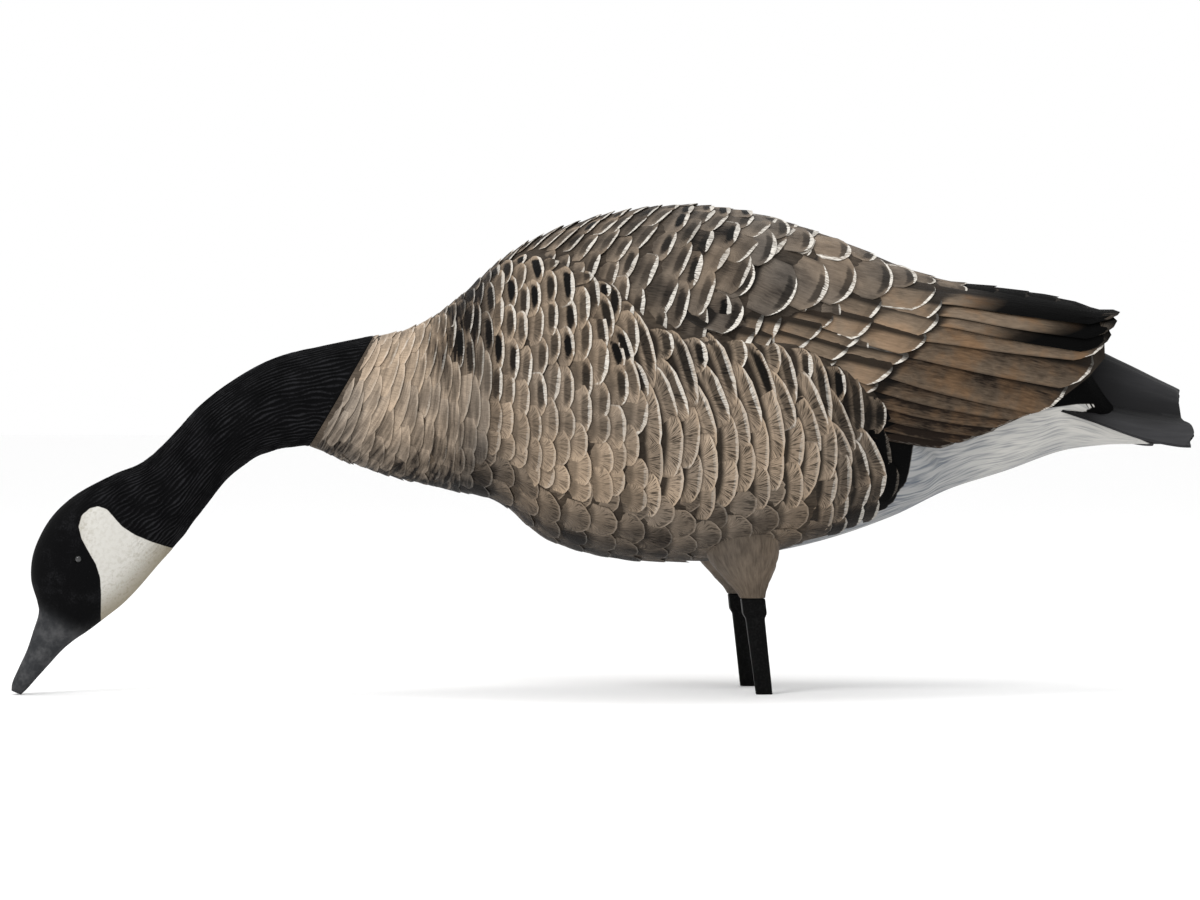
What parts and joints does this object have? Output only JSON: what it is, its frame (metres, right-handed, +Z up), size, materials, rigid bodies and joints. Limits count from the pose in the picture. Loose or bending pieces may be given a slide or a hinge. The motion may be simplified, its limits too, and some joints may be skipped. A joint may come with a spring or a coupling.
{
  "type": "goose decoy",
  "caption": "Moulded goose decoy in a feeding pose, with folded wings, a separate black neck and head that reach down to the ground, and plug-in legs.",
  "frame": {"origin": "on the ground, under the middle of the whole decoy", "axes": "+Z up, +X towards the tail, -X towards the bill, +Y towards the goose's right side"},
  "size_m": [0.87, 0.2584, 0.3617],
  "materials": {
    "painted_body": "moulded feather relief, hand-painted in matt browns with pale fringes",
    "flocked_neck": "black flock over moulded ridges, white cheek patch, plain matt bill",
    "leg": "plain black moulded plastic"
  },
  "bodies": {
    "root": {"body": "painted_body", "head_and_neck": "flocked_neck", "leg_left": "leg", "leg_right": "leg"}
  },
  "joints": []
}
